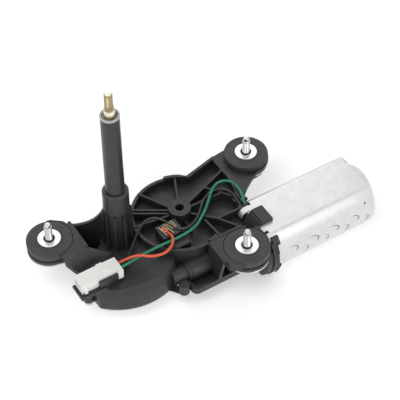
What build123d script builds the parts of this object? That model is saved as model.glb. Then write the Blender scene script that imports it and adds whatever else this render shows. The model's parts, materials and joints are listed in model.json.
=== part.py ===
from build123d import *
import os
from math import acos, atan2, cos, degrees, hypot, pi, radians, sin, tan

# Rear wiper motor.  Origin: on the output spindle's axis, in the mounting plane
# (the top faces of the three mounting sleeves).  +X runs along the motor towards
# the closed end of its can, +Y towards the rear arm, +Z up the spindle.

# ---------------------------------------------------------------- driving dimensions
wall = 2.5                      # moulded wall of the gear housing
rib_t = 1.6                     # stiffening ribs
fit = 0.05                      # radial running clearance of shafts and bushes
gap = 0.3                       # free gap between faces that must not touch

# gear train
module = 1.0
wheel_teeth = 66
pinion_teeth = 18
sector_teeth = 54               # teeth of the full circle that the sector is cut from
worm_pitch_r = 5.0
worm_turns = 7
wheel_x, wheel_y = 50.5, -5.5
wheel_face = 8.0
wheel_bore = 6.5
motor_z = -26.0                 # height of the armature's axis
wipe_angle = 110.0              # sweep of the output spindle
swing_mid_angle = -98.5         # direction of the swing plate at mid wipe
sector_span = 50.0              # angle covered by the sector's teeth
rod_plate = 4.0                 # thickness of the sector rod
swing_plate_t = 2.0
pivot_pin_d = 5.0
crank_pin_d = 6.0
tooth_backlash = 0.25

# gear housing heights
rim_z = -7.0                    # rim of the ribbed dish over the worm wheel
rib_z = -5.0                    # tops of the ribs and of the arm walls
floor_z = -13.3                 # floor of the dish and plateau of the swing chamber
step_z = -21.7                  # lower shoulder round the swing chamber
base_z = -35.0                  # parting face of the bottom cover
boss_z = -0.8                   # top of the wheel boss
pocket_z = -30.0                # floor of the pocket beside the hub
dish_r = 38.0
boss_r, boss_bore = 8.7, 6.8
swing_outer_r = 49.5
cover_t = 1.5

# output spindle and its tube
spindle_d = 8.0
hub_r = 9.3
tube_z0, tube_top = -2.0, 118.4
tube_r_low, tube_r_top = 7.35, 6.85
tube_bore_r = 5.4
bush_wall = 1.2
collar_r, collar_z0, collar_z1, collar_chamfer = 9.85, 25.0, 44.5, 1.5
seal_r, seal_t = 7.1, 1.4
neck_d, neck_top = 7.6, 123.5
cone_top, thread_d, spindle_tip = 128.6, 6.0, 140.2

# motor
can_r, can_flat, can_wall = 27.8, 21.2, 1.5
can_mouth, can_end, can_corner_r = 93.6, 189.0, 5.0
end_boss_r, end_boss_len = 9.5, 6.5
shaft_d = 6.0
tunnel_x0, tunnel_r = 19.5, 6.8
ring_x0, ring_x1, ring_r = 31.5, 34.5, 8.3
barrel_r = 8.9
core_r, core_x0, core_x1, slots = 18.6, 120.0, 170.0, 10
commutator_r, commutator_x0, commutator_x1 = 9.0, 99.5, 112.0
flange_x0, flange_t = 91.5, 2.1
shaft_x0, shaft_x1 = 26.05, 192.5
brush_x0, brush_x1, brush_back = 101.5, 109.5, 16.5

# mounts
left_mount = (-48.0, 19.5)
rear_mount = (125.5, 16.5)
front_mount = (73.5, -64.0)
grommet_r, groove_r = 17.5, 11.8
grommet_top, groove_top, groove_bottom, grommet_bottom = -1.0, -6.0, -9.0, -12.0
sleeve_flange_r, sleeve_r, sleeve_bore = 9.0, 4.2, 6.5
stud_d, stud_tip_d, stud_top, stud_tip_len = 6.0, 4.5, 15.6, 3.0
stud_plate_r, stud_plate_t = 17.3, 1.5

# plug, terminal block and wires
plug_x0, plug_x1, plug_y0, plug_y1 = -49.1, -15.2, -32.8, -20.6
plug_top, plug_h = -2.0, 8.6
block_x0, block_x1, block_y0, block_y1, block_top = 25.0, 42.5, -35.0, -11.5, -3.0
wire_d = 2.1
plug_ways = [(-25.2, -4.5), (-29.8, -4.5), (-27.6, -7.9)]     # wire positions in the plug (y, z)
wire_exit = (96.0, -24.0, -9.0)                               # where the motor's wires leave the can
wire_notch = (93.0, 100.4, -29.0, -19.5, -14.0, -3.0)          # notch in the can's mouth (x, y, z limits)

# ---------------------------------------------------------------- derived sizes
wheel_pitch_r = module * wheel_teeth / 2
motor_y = wheel_y - (wheel_pitch_r + worm_pitch_r)
pinion_r = module * pinion_teeth / 2
sector_r = module * sector_teeth / 2
swing_arm = pinion_r + sector_r
swing_ratio = pinion_r / swing_arm
swing_travel = wipe_angle * swing_ratio
crank_r = swing_arm * sin(radians(swing_travel / 2))
roof_z = floor_z - wall         # underside of the dish floor and of the plateau
wheel_top = motor_z + wheel_face / 2
wheel_bottom = motor_z - wheel_face / 2
rod_z0 = wheel_top + 1.0
rod_z1 = rod_z0 + rod_plate
swing_z1 = rod_z0 - gap
swing_z0 = swing_z1 - swing_plate_t
drum_r = dish_r - wall - gap
pad_top = grommet_top - 0.2
web_top, web_bottom = groove_top - 0.1, groove_bottom + 0.1
bush_r = spindle_d / 2 + bush_wall
can_top = motor_z + can_flat
motor_axis = Plane(origin=(0, motor_y, motor_z), x_dir=(0, 1, 0), z_dir=(1, 0, 0))
up = (Align.CENTER, Align.CENTER, Align.MIN)


def polar(radius, angle, centre=(0.0, 0.0)):
    return (centre[0] + radius * cos(radians(angle)), centre[1] + radius * sin(radians(angle)))


# the swing plate's pivot and the crank pin at the parked end of the wipe
pivot = polar(swing_arm, swing_mid_angle - swing_travel / 2)
pivot_mid = polar(swing_arm, swing_mid_angle)
crank = (wheel_x + pivot[0] - pivot_mid[0], wheel_y + pivot[1] - pivot_mid[1])
rod_angle = degrees(atan2(crank[1] - pivot[1], crank[0] - pivot[0]))
rod_length = hypot(crank[0] - pivot[0], crank[1] - pivot[1])


os.makedirs("parts", exist_ok=True)


def save(piece, name):
    piece.part.label = name
    export_step(piece.part, f"parts/{name}.step")


def at(point, z):
    return Plane(origin=(point[0], point[1], z))


def along_motor(x):
    return motor_axis.offset(x)


def rod(x0, x1, radius, mode=Mode.ADD):
    """A round bar on the motor's axis."""
    with BuildSketch(along_motor(x0)) as disc:
        Circle(radius)
    extrude(disc.sketch, amount=x1 - x0, mode=mode)


def rib(start, end, z0, z1, thickness=rib_t):
    """An upright rib between two points of the plan."""
    length = hypot(end[0] - start[0], end[1] - start[1])
    angle = degrees(atan2(end[1] - start[1], end[0] - start[0]))
    with BuildSketch(Plane.XY.offset(z0)) as strip:
        with Locations(Location(((start[0] + end[0]) / 2, (start[1] + end[1]) / 2, 0), (0, 0, angle))):
            Rectangle(length, thickness)
    extrude(strip.sketch, amount=z1 - z0)


def slab(points, z0, z1, mode=Mode.ADD):
    """A flat plate with straight sides."""
    with BuildSketch(Plane.XY.offset(z0)) as plan:
        with BuildLine():
            Polyline(*points, close=True)
        make_face()
    extrude(plan.sketch, amount=z1 - z0, mode=mode)


def post(point, radius, z0, z1, mode=Mode.ADD):
    """An upright round boss or hole."""
    with BuildSketch(at(point, z0)) as disc:
        Circle(radius)
    extrude(disc.sketch, amount=z1 - z0, mode=mode)


# ---------------------------------------------------------------- gear teeth
def tooth_points(teeth, backlash, tip=0.95, root=1.2):
    """One tooth, as polar points (radius, angle in degrees) about its centre line."""
    pressure = radians(20)
    pitch_r = module * teeth / 2
    base_r = pitch_r * cos(pressure)
    half_at_pitch = (pi * module / 2 - backlash) / (2 * pitch_r)
    flank = []
    for radius in (pitch_r - root * module, pitch_r - 0.4 * module, pitch_r + 0.3 * module,
                   pitch_r + tip * module):
        slope = acos(min(1.0, base_r / max(radius, base_r)))
        involute = tan(slope) - slope
        half = half_at_pitch + tan(pressure) - pressure - involute
        flank.append((radius, degrees(half)))
    return [(r, -a) for r, a in flank] + [(r, a) for r, a in reversed(flank)]


def gear_outline(centre, teeth, backlash, phase, first=0, count=None):
    """Corner points of a run of teeth, counted from the tooth centred at the phase angle."""
    step = 360 / teeth
    points = []
    for index in range(first, first + (count or teeth)):
        for radius, angle in tooth_points(teeth, backlash):
            points.append(polar(radius, phase + index * step + angle, centre))
    return points


# ---------------------------------------------------------------- gear housing
chamber_side = [(32, -33), (32, 8), (10, 13), (-12, 7), (-25, 0), (-38, -10.5)]


def swing_outline(radius, first_angle, last_angle, corners):
    """Plan of the swing chamber: an arc round the spindle, closed by straight sides."""
    with BuildLine() as outline:
        arc = ThreePointArc(
            polar(radius, first_angle),
            polar(radius, (first_angle + last_angle) / 2),
            polar(radius, last_angle),
        )
        Polyline(arc @ 1, *corners, arc @ 0)
    make_face(outline.edges())


def swing_chamber():
    with BuildPart() as chamber:
        for z0, height, slope in ((base_z, step_z - base_z, 0), (step_z, floor_z - step_z, 14)):
            with BuildSketch(Plane.XY.offset(z0)) as plan:
                swing_outline(swing_outer_r, -137, -60, chamber_side)
                fillet(plan.vertices().sort_by(Axis.X)[:2], 4)
            extrude(plan.sketch, amount=height, taper=slope)
    return chamber.part


def hub():
    """The socket that carries the spindle's tube, with its ring of gussets."""
    with BuildPart() as socket:
        post((0, 0), pinion_r + module + 4.0, base_z, floor_z)
        post((0, 0), hub_r, roof_z, collar_z0)
        for index in range(10):
            angle = radians(18 + 36 * index)
            side = Plane(origin=(0, 0, 0), x_dir=(cos(angle), sin(angle), 0), z_dir=(sin(angle), -cos(angle), 0))
            with BuildSketch(side) as gusset:
                with BuildLine():
                    Polyline((hub_r - 1, pocket_z), (12.6, pocket_z), (12.4, floor_z), (10.9, collar_z0 - 1),
                             (hub_r - 1, collar_z0 - 1), close=True)
                make_face()
            extrude(gusset.sketch, amount=rib_t / 2, both=True)
    return socket.part


def ramp():
    """Sloping plate from the left pad down to the plateau."""
    top, low, flank = (-29.5, -0.1, pad_top), (-11.3, -7.7, floor_z), (-40.7, -11.8, floor_z)
    normal = (Vector(*flank) - Vector(*top)).cross(Vector(*low) - Vector(*top)).normalized()
    slope = Plane(origin=top, z_dir=normal)
    with BuildPart() as plate:
        slab([(-47.5, 1.5), (-29, 1.5), (-29, -0.1), low[:2], (-12, -14), (-38, -14), flank[:2], (-47.5, -4.9)],
             -20, pad_top)
        split(bisect_by=slope, keep=Keep.BOTTOM)
        with BuildSketch(slope.offset(-3.0)) as under:
            Rectangle(160, 160)
        extrude(under.sketch, amount=-60, mode=Mode.SUBTRACT)
    return plate.part


def left_arm():
    """The pocket between the left pad and the hub, and the web behind it."""
    edge, corner = -29.0, (-29.0, 26.0)
    with BuildPart() as arm:
        slab([(edge, 0), (edge, 27), (edge + wall, 27), (edge + wall, -2)], pocket_z, pad_top)
        slab([(edge, -1), (edge, 27), (0, 9), (0, 0), (-12, 4), (-25, -2)], pocket_z - wall, pocket_z)
        reach = hypot(*corner)
        upright = Plane(origin=(*corner, 0), x_dir=(-corner[0], -corner[1], 0), z_dir=(-corner[1], corner[0], 0))
        with BuildSketch(upright) as web:
            with BuildLine():
                sweep_up = ThreePointArc((2, -3), (18, 5.5), (29, collar_z0 - 1))
                Polyline(sweep_up @ 1, (reach - 5, collar_z0 - 1), (reach - 5, pocket_z), (0, pocket_z), (0, -3),
                         (2, -3))
            make_face()
        extrude(web.sketch, amount=wall / 2, both=True)
    return arm.part


def pad(point, plan):
    """A mounting pad round the inner side of a grommet; its web fills the grommet's groove."""
    with BuildPart() as plate:
        slab(plan, web_bottom, pad_top)
        post(point, grommet_r + gap, web_top, pad_top + 1, mode=Mode.SUBTRACT)
        post(point, grommet_r - 0.9, web_bottom, web_top)
    return plate.part


def rear_arm():
    """The plate under the rear grommet, bowed towards the motor, with its walls."""
    with BuildPart() as arm:
        with BuildSketch(Plane.XY.offset(web_bottom)) as plate:
            with BuildLine():
                bow = ThreePointArc((97, -23), (114, -8), (131, 0))
                Polyline(bow @ 1, rear_mount, (118, 32), (102, 30), (102, 0), (93, -18), bow @ 0)
            make_face()
            with Locations(rear_mount):
                Circle(grommet_r + 0.6)
        extrude(plate.sketch, amount=web_top - web_bottom)
        rib((103.5, 29), (103.5, -1), roof_z, web_top, wall)
        rib((103.5, -1), (131, 2.2), -16, web_bottom, wall)
        rib((103.5, 29), (117, 31), -16, web_bottom, wall)
    return arm.part


def open_side():
    """The open, ribbed half between the dish, the rear arm and the motor flange."""
    with BuildPart() as side:
        slab([(58, 31.7), (66, 30.5), (74, 23), (103, 30), (103, -1), (97, -19), (flange_x0, -20),
              (flange_x0, motor_y), (55, motor_y), (50, -30)], roof_z, rib_z)
    return side.part


def dish_recess():
    with BuildPart() as recess:
        with BuildSketch(Plane.XY.offset(floor_z)) as plan:
            with Locations((wheel_x, wheel_y)):
                Circle(dish_r - wall)
            with BuildLine():
                Polyline((70, 20), (74.5, 20.4), (103 - wall, 27), (103 - wall, 0), (94.7, -17.5),
                         (flange_x0, -17.5), (flange_x0, motor_y + 2), (62, motor_y + 2), close=True)
            make_face()
        extrude(plan.sketch, amount=20)
    return recess.part


def dish_ribs():
    centre = (wheel_x, wheel_y)
    rim = dish_r - 1
    with BuildPart() as ribs:
        post(centre, boss_r, roof_z, boss_z)
        for angle in (65, 118, 172):
            rib(centre, polar(rim, angle, centre), floor_z - 1, rib_z - 1)
        for shift in (-1.7, 1.7):
            start = polar(shift, 238, centre)
            rib(start, polar(rim, 148, start), floor_z - 1, rib_z - 1)
        for end in ((101.5, 13.8), (flange_x0 + 1, -6.4), (71.6, -27.1)):
            rib(centre, end, floor_z - 1, rib_z)
        rib((71.6, -27.1), (81.5, -43.0), floor_z - 1, rib_z)
        rib((71.6, -27.1), (flange_x0 + 1, -27.1), floor_z - 1, rib_z)
        rib((62.8, -22.0), (64.5, -43.0), floor_z - 1, rib_z - 1)
        rib(centre, (50.3, -24), floor_z - 1, rib_z - 3)
        rib((80, 4.8), (97, -19), floor_z - 1, rib_z)
    return ribs.part


def worm_barrel():
    with BuildPart() as barrel:
        rod(tunnel_x0, ring_x0, tunnel_r)
        rod(ring_x0, ring_x1, ring_r)
        rod(ring_x1, flange_x0, barrel_r)
    return barrel.part


def motor_section(radius, half_height):
    """The motor's round section with its two flats."""
    Circle(radius)
    Rectangle(2 * radius, 2 * half_height, mode=Mode.INTERSECT)


def motor_flange():
    """Plate and cup that close the motor's mouth, with the collar and clips round the can."""
    cup_x0, collar_x1, clip_x0, clip_x1 = 88.8, 101.5, 97.5, 104.0
    low_side = floor_z - 1.7 - motor_z      # the cup keeps below the pads and ribs
    with BuildPart() as flange:
        with BuildSketch(along_motor(flange_x0)) as plate:
            motor_section(can_r + 0.3, can_flat - 0.6)
        extrude(plate.sketch, amount=flange_t)
        with BuildSketch(along_motor(cup_x0)) as cup:
            motor_section(can_r + 1.5, can_flat + 0.8)
            with Locations((0, low_side + 20)):
                Rectangle(80, 40, mode=Mode.SUBTRACT)
        extrude(cup.sketch, amount=flange_x0 + flange_t - cup_x0)
        with BuildSketch(along_motor(flange_x0 + flange_t - 0.6)) as collar:
            motor_section(can_r + 2.6, can_flat + 2.6)
            with BuildSketch(mode=Mode.PRIVATE) as can_outline:
                motor_section(can_r + 0.1, can_flat + 0.1)
            add(can_outline.sketch, mode=Mode.SUBTRACT)
            with Locations((0, can_flat + 8)):
                Rectangle(80, 24, mode=Mode.SUBTRACT)
        extrude(collar.sketch, amount=collar_x1 - flange_x0 - flange_t + 0.6)
        for angle in (25, 155, 205, 335):
            side = Plane(origin=(clip_x0, motor_y, motor_z), x_dir=(0, cos(radians(angle)), sin(radians(angle))),
                         z_dir=(1, 0, 0))
            with BuildSketch(side) as clip:
                with Locations((can_r + 2.0, 0)):
                    Rectangle(2.6, 9)
            extrude(clip.sketch, amount=clip_x1 - clip_x0)
        half = 7.7
        for x0, x1, z0, z1 in ((86, 97.5, can_top + 0.1, can_top + 1.9), (96, 105.5, can_top + 0.1, can_top + 3.0),
                               (84, flange_x0 + 1, floor_z - 1, can_top + 1.9)):
            slab([(x0, motor_y - half), (x1, motor_y - half), (x1, motor_y + half), (x0, motor_y + half)], z0, z1)
    return flange.part


def front_arm():
    """Walls that carry the front pad over the worm barrel."""
    with BuildPart() as arm:
        back = motor_y + 1.5
        slab([(46, back), (53, back), (53, -61), (46, -61)], base_z, -20)
        with BuildSketch(Plane(origin=(50.5, 0, 0), x_dir=(0, 1, 0), z_dir=(1, 0, 0))) as gusset:
            with BuildLine():
                Polyline((-46.5, pad_top), (-68, pad_top), (-61.5, -29), (-46.5, -29), close=True)
            make_face()
        extrude(gusset.sketch, amount=wall)
        slab([(50.5, -46.5), (86, -46.5), (86, -49), (50.5, -49)], -20, pad_top)
    return arm.part


def tray():
    """Open drip tray along the front of the worm barrel."""
    x0, x1, y0, y1, height, floor_t = 29.5, 78.0, -61.5, motor_y + 1.5, 6.0, 2.0
    with BuildPart() as shelf:
        with BuildSketch(Plane.XY.offset(base_z)) as plan:
            with Locations(((x0 + x1) / 2, (y0 + y1) / 2)):
                Rectangle(x1 - x0, y1 - y0)
            fillet(plan.vertices().group_by(Axis.Y)[0], 5)
        extrude(plan.sketch, amount=height)
        with BuildSketch(Plane.XY.offset(base_z + floor_t)) as hollow:
            with Locations(((x0 + x1) / 2, (y0 + y1) / 2)):
                Rectangle(x1 - x0 - 2 * wall, y1 - y0 - 2 * wall)
            fillet(hollow.vertices(), 3)
        extrude(hollow.sketch, amount=height, mode=Mode.SUBTRACT)
    return shelf.part


def plug_bracket():
    """Shelf and front wall that hold the plug."""
    reach = 2.2
    with BuildPart() as bracket:
        slab([(plug_x0 - reach, plug_y0 - 3.5), (plug_x0 - reach, plug_y1 - 1), (-30, plug_y1 - 1),
              (-30, plug_y0 - 3.5)], floor_z, plug_top - plug_h - 0.2)
        slab([(-35, plug_y0 - 2.4), (-35, plug_y0 - 0.3), (-19.8, plug_y0 - 0.3), (-19.8, plug_y0 - 2.4)],
             floor_z - 1, plug_top - 2.2)
        slab([(-35, plug_y0 - 0.3), (-35, plug_y1), (-19.8, plug_y1), (-19.8, plug_y0 - 0.3)],
             floor_z - 1, plug_top - plug_h - 0.2)
    return bracket.part


cover_screw_points = [(25.0, -53.5), (-39.5, -22.0), (50.5, 34.6), (87.5, 6.0), (9.5, 15.0)]
cover_screw_d = 4.0


def screw_bosses():
    with BuildPart() as bosses:
        for point in cover_screw_points:
            post(point, cover_screw_d / 2 + 2.2, base_z, base_z + 9)
    return bosses.part


def gear_housing():
    pads = [
        pad(left_mount, [(-48, 2.5), (-29, -0.1), (-29, 24), (-31, 29.5), (-39, 36), (-48, 37)]),
        pad(front_mount, [(50.5, -46.5), (86, -46.5), (91.2, -52), (91.2, -64), (73.5, -66), (61, -78),
                          (53, -72.5)]),
    ]
    forms = [swing_chamber(), hub(), ramp(), left_arm(), open_side(), *pads, rear_arm(), front_arm(), tray(),
             worm_barrel(), plug_bracket(), screw_bosses()]
    recess, ribs, flange = dish_recess(), dish_ribs(), motor_flange()
    with BuildPart() as housing:
        post((wheel_x, wheel_y), dish_r, base_z, rim_z)
        add(forms)
        add(recess, mode=Mode.SUBTRACT)
        add(ribs)
        with BuildSketch(along_motor(can_mouth - 0.1)) as can_space:
            motor_section(can_r + 0.3, can_flat + 0.1)
        extrude(can_space.sketch, amount=30, mode=Mode.SUBTRACT)
        add(flange)
        # outlets for the motor's wires in the wall and in the corner of the rear plate
        slab([(92.6, -22), (92.6, -11), (96.2, -11), (96.2, -22)], -9.5, rib_z + 1, mode=Mode.SUBTRACT)
        slab([(96.8, -24), (100.4, -24), (100.4, -17), (96.8, -17)], -9.5, rib_z + 1, mode=Mode.SUBTRACT)
        # closed chambers over the bottom cover
        post((wheel_x, wheel_y), drum_r, base_z, roof_z, mode=Mode.SUBTRACT)
        with BuildSketch(Plane.XY.offset(base_z)) as hollow:
            swing_outline(
                swing_outer_r - wall - 2.2, -132, -70,
                [(17, -36.5), (24, -31), (32, -27), (32, 6), (9, 10.5), (-10, 5), (-23, -2.8), (-33, -12)],
            )
        extrude(hollow.sketch, amount=roof_z - base_z, mode=Mode.SUBTRACT)
        post((0, 0), pinion_r + module + 0.6, base_z, roof_z, mode=Mode.SUBTRACT)
        # window for the park contacts
        slab([(33, -33), (33, -25), (41.3, -25), (41.3, -33)], roof_z - 1, floor_z + 1, mode=Mode.SUBTRACT)
        # bores on the motor's axis: worm end bush, worm, front bearing
        rod(tunnel_x0 + 2.5, 34, 4.5, mode=Mode.SUBTRACT)
        rod(33, 80, 6.8, mode=Mode.SUBTRACT)
        rod(79, 88, 5.5, mode=Mode.SUBTRACT)
        rod(87, flange_x0 + flange_t + 1, shaft_d / 2 + 1, mode=Mode.SUBTRACT)
        # spindle socket, wheel axle and mounting grommets
        post((0, 0), tube_r_low + 0.02, tube_z0, collar_z0 + 1, mode=Mode.SUBTRACT)
        post((0, 0), bush_r + 0.02, roof_z - 1, tube_z0 + 1, mode=Mode.SUBTRACT)
        post((wheel_x, wheel_y), boss_bore / 2, floor_z + 2, boss_z + 1, mode=Mode.SUBTRACT)
        for point in (left_mount, front_mount, rear_mount):
            post(point, grommet_r + 0.8, web_bottom - 7, web_bottom, mode=Mode.SUBTRACT)
            post(point, groove_r + 0.1, web_bottom - 1, web_top + 1, mode=Mode.SUBTRACT)
            post(point, grommet_r + gap, web_top, pad_top + 1, mode=Mode.SUBTRACT)
        for point in cover_screw_points:
            post(point, cover_screw_d / 2 - 0.02, base_z - 1, base_z + 7.5, mode=Mode.SUBTRACT)
    return housing



# ---------------------------------------------------------------- closing parts of the gear housing
def bottom_cover():
    axle_spigot_r = 2.4
    with BuildPart() as cover:
        post((wheel_x, wheel_y), dish_r, base_z - cover_t, base_z)
        post((0, 0), pinion_r + module + 4.0, base_z - cover_t, base_z)
        with BuildSketch(Plane.XY.offset(base_z - cover_t)) as plan:
            swing_outline(swing_outer_r, -137, -60, chamber_side)
        extrude(plan.sketch, amount=cover_t)
        for point in cover_screw_points:
            post(point, cover_screw_d / 2 + 2.2, base_z - cover_t, base_z)
        rib((25, -53.5), (17, -43), base_z - cover_t, base_z, 7)
        for point in cover_screw_points:
            post(point, cover_screw_d / 2 + 0.3, base_z - 5, base_z + 1, mode=Mode.SUBTRACT)
        post((wheel_x, wheel_y), axle_spigot_r + 0.02, base_z - 5, base_z + 1, mode=Mode.SUBTRACT)
        # pressed bead that stiffens the plate
        post((wheel_x, wheel_y), 26, base_z - cover_t - 0.6, base_z - cover_t)
        post((wheel_x, wheel_y), 22, base_z - cover_t - 1, base_z - cover_t, mode=Mode.SUBTRACT)
    return cover


def cover_screws():
    head_r, head_t = 3.6, 2.2
    under = base_z - cover_t
    with BuildPart() as screws:
        for point in cover_screw_points:
            post(point, head_r, under - head_t, under)
            post(point, cover_screw_d / 2 - 0.05, under - 0.2, base_z + 7)
        chamfer(screws.edges().filter_by(GeomType.CIRCLE).group_by(Axis.Z)[0], 0.6)
        for point in cover_screw_points:
            with BuildSketch(at(point, under - head_t - 1)) as drive:
                Rectangle(4.2, 0.9)
                Rectangle(0.9, 4.2)
            extrude(drive.sketch, amount=2.2, mode=Mode.SUBTRACT)
    return screws


def wheel_axle():
    """Stepped pin riveted into the bottom cover; the worm wheel turns on it."""
    axle_r = wheel_bore / 2 - fit
    centre = (wheel_x, wheel_y)
    with BuildPart() as axle:
        post(centre, 2.4, base_z - cover_t, base_z)
        post(centre, 7.0, base_z, base_z + 2)
        post(centre, 5.0, base_z + 2, wheel_bottom - gap)
        post(centre, axle_r, wheel_bottom - gap, wheel_top - gap)
        chamfer(axle.edges().filter_by(GeomType.CIRCLE).group_by(Axis.Z)[-1], 0.5)
    return axle


# ---------------------------------------------------------------- spindle tube
def tube_r(z):
    return tube_r_low + (tube_r_top - tube_r_low) * (z - tube_z0) / (tube_top - tube_z0)


def turned(profile, axis=Axis.Z, plane=Plane.XZ):
    """A turned solid from (radius, height) corner points."""
    with BuildPart() as solid:
        with BuildSketch(plane) as half:
            with BuildLine():
                Polyline(*profile, close=True)
            make_face()
        revolve(half.sketch, axis=axis)
    return solid


def guide_tube():
    return turned([
        (tube_bore_r, tube_z0), (tube_r(tube_z0), tube_z0), (tube_r(tube_top), tube_top), (tube_bore_r, tube_top),
    ])


def tube_collar():
    inner, free = 0.02, collar_z0 + 0.05
    return turned([
        (tube_r(free) + inner, free), (collar_r, free), (collar_r, collar_z1 - collar_chamfer),
        (collar_r - collar_chamfer, collar_z1), (tube_r(collar_z1) + inner, collar_z1),
    ])


def tube_seal():
    top = tube_top + seal_t
    return turned([
        (neck_d / 2 + 0.35, tube_top), (seal_r, tube_top), (seal_r, top - 0.4), (seal_r - 0.4, top),
        (neck_d / 2 + 0.35, top),
    ])


def bush(z0, z1, outer_r):
    return turned([
        (spindle_d / 2 + fit, z0), (outer_r, z0), (outer_r, z1), (spindle_d / 2 + fit, z1),
    ])


def output_bush_lower():
    return bush(roof_z, tube_z0 - 0.1, bush_r)


def output_bush_upper():
    return bush(tube_top - 16, tube_top - 0.1, tube_bore_r - 0.02)


# ---------------------------------------------------------------- output spindle
def output_spindle():
    foot = swing_z0 - 3.0
    groove_z0, groove_z1 = swing_z0 - 1.6, swing_z0 - 0.9
    knurl_r = neck_d / 2 - 0.1
    spindle_r, thread_r = spindle_d / 2, thread_d / 2
    with BuildPart() as spindle:
        with BuildSketch(Plane.XZ) as half:
            with BuildLine():
                Polyline(
                    (0, foot), (spindle_r - 0.5, foot), (spindle_r, foot + 0.5), (spindle_r, groove_z0),
                    (spindle_r - 0.8, groove_z0), (spindle_r - 0.8, groove_z1), (spindle_r, groove_z1),
                    (spindle_r, tube_top - 4), (neck_d / 2, tube_top - 3), (neck_d / 2, neck_top),
                    (knurl_r, neck_top + 0.2), (thread_r + 0.2, cone_top), (thread_r, cone_top),
                    (thread_r, spindle_tip - 0.8), (thread_r - 0.8, spindle_tip), (0, spindle_tip), close=True,
                )
            make_face()
        revolve(half.sketch, axis=Axis.Z)
        # fine splines on the cone that grips the wiper arm
        for index in range(18):
            angle = radians(20 * index)
            radial = Plane(origin=(0, 0, 0), x_dir=(cos(angle), sin(angle), 0), z_dir=(sin(angle), -cos(angle), 0))
            with BuildSketch(radial) as groove:
                with BuildLine():
                    Polyline((knurl_r - 0.35, neck_top + 0.6), (knurl_r + 0.5, neck_top + 0.6),
                             (thread_r + 0.8, cone_top - 0.4), (thread_r, cone_top - 0.4), close=True)
                make_face()
            extrude(groove.sketch, amount=0.25, both=True, mode=Mode.SUBTRACT)
        # centre mark in the tip
        with BuildSketch(Plane.XY.offset(spindle_tip - 0.8)) as centre_mark:
            Circle(0.8)
        extrude(centre_mark.sketch, amount=1, mode=Mode.SUBTRACT)
    return spindle


def pinion():
    mesh_direction = degrees(atan2(pivot[1], pivot[0]))
    with BuildPart() as gear:
        with BuildSketch(Plane.XY.offset(rod_z0)) as plan:
            with BuildLine():
                Polyline(*gear_outline((0, 0), pinion_teeth, tooth_backlash, mesh_direction + 180 / pinion_teeth),
                         close=True)
            make_face()
            Circle(spindle_d / 2 + 0.02, mode=Mode.SUBTRACT)
        extrude(plan.sketch, amount=rod_plate)
        post((0, 0), 6.2, rod_z1, roof_z - gap)
        post((0, 0), spindle_d / 2 + 0.02, rod_z0, roof_z, mode=Mode.SUBTRACT)
    return gear


def spindle_clip():
    groove_z0, groove_z1 = swing_z0 - 1.6, swing_z0 - 0.9
    with BuildPart() as clip:
        post((0, 0), 6.4, groove_z0 + 0.05, groove_z1 - 0.05)
        post((0, 0), spindle_d / 2 - 0.78, groove_z0, groove_z1, mode=Mode.SUBTRACT)
        slab([(-1.6, -8), (-1.6, 0), (1.6, 0), (1.6, -8)], groove_z0, groove_z1, mode=Mode.SUBTRACT)
    return clip


def spindle_washer():
    with BuildPart() as washer:
        post((0, 0), 7.0, swing_z0 - 0.8, swing_z0 - gap)
        post((0, 0), spindle_d / 2 + 0.02, swing_z0 - 1, swing_z0, mode=Mode.SUBTRACT)
    return washer


# ---------------------------------------------------------------- swing plate and sector rod
def swing_plate():
    width, end_r = 12.0, 7.0
    with BuildPart() as plate:
        post((0, 0), end_r + 0.6, swing_z0, swing_z1)
        post(pivot, end_r, swing_z0, swing_z1)
        rib((0, 0), pivot, swing_z0, swing_z1, width)
        post((0, 0), spindle_d / 2 + fit, swing_z0 - 1, swing_z1 + 1, mode=Mode.SUBTRACT)
        post(pivot, pivot_pin_d / 2 + 0.02, swing_z0 - 1, swing_z1 + 1, mode=Mode.SUBTRACT)
        middle = ((pivot[0]) / 2, (pivot[1]) / 2)
        post(middle, 3.4, swing_z0 - 1, swing_z1 + 1, mode=Mode.SUBTRACT)
    return plate


def pivot_pin():
    with BuildPart() as pin:
        post(pivot, pivot_pin_d / 2 + 1.4, swing_z0 - 0.9, swing_z0)
        post(pivot, pivot_pin_d / 2, swing_z0, roof_z - 0.5)
        chamfer(pin.edges().filter_by(GeomType.CIRCLE).group_by(Axis.Z)[-1], 0.4)
    return pin


def sector_rod():
    """Toothed sector and connecting rod in one plate."""
    first_tooth, tooth_count = -2, 9
    hub_outer, eye_r, arm_width = 8.0, 5.5, 9.0
    mesh_direction = degrees(atan2(-pivot[1], -pivot[0]))
    teeth = gear_outline(pivot, sector_teeth, tooth_backlash, mesh_direction, first_tooth, tooth_count)
    with BuildPart() as rod_part:
        with BuildSketch(Plane.XY.offset(rod_z0)) as plan:
            with BuildLine():
                Polyline(*teeth, polar(4, mesh_direction + 90, pivot), polar(4, mesh_direction - 70, pivot),
                         close=True)
            make_face()
            with Locations(pivot):
                Circle(hub_outer)
            with Locations(crank):
                Circle(eye_r)
        extrude(plan.sketch, amount=rod_plate)
        rib(pivot, crank, rod_z0, rod_z1, arm_width)
        post(pivot, pivot_pin_d / 2 + fit, rod_z0 - 1, rod_z1 + 1, mode=Mode.SUBTRACT)
        post(crank, crank_pin_d / 2 + 0.02, rod_z0 - 1, rod_z1 + 1, mode=Mode.SUBTRACT)
        # relief in the fan and along the arm
        post(polar(16.5, mesh_direction + 14, pivot), 4.2, rod_z0 - 1, rod_z1 + 1, mode=Mode.SUBTRACT)
        start, end = polar(14, rod_angle, pivot), polar(rod_length - 11, rod_angle, pivot)
        with BuildPart(mode=Mode.PRIVATE) as relief:
            rib(start, end, rod_z1 - 1.0, rod_z1 + 1, arm_width - 4)
        add(relief.part, mode=Mode.SUBTRACT)
    return rod_part


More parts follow.
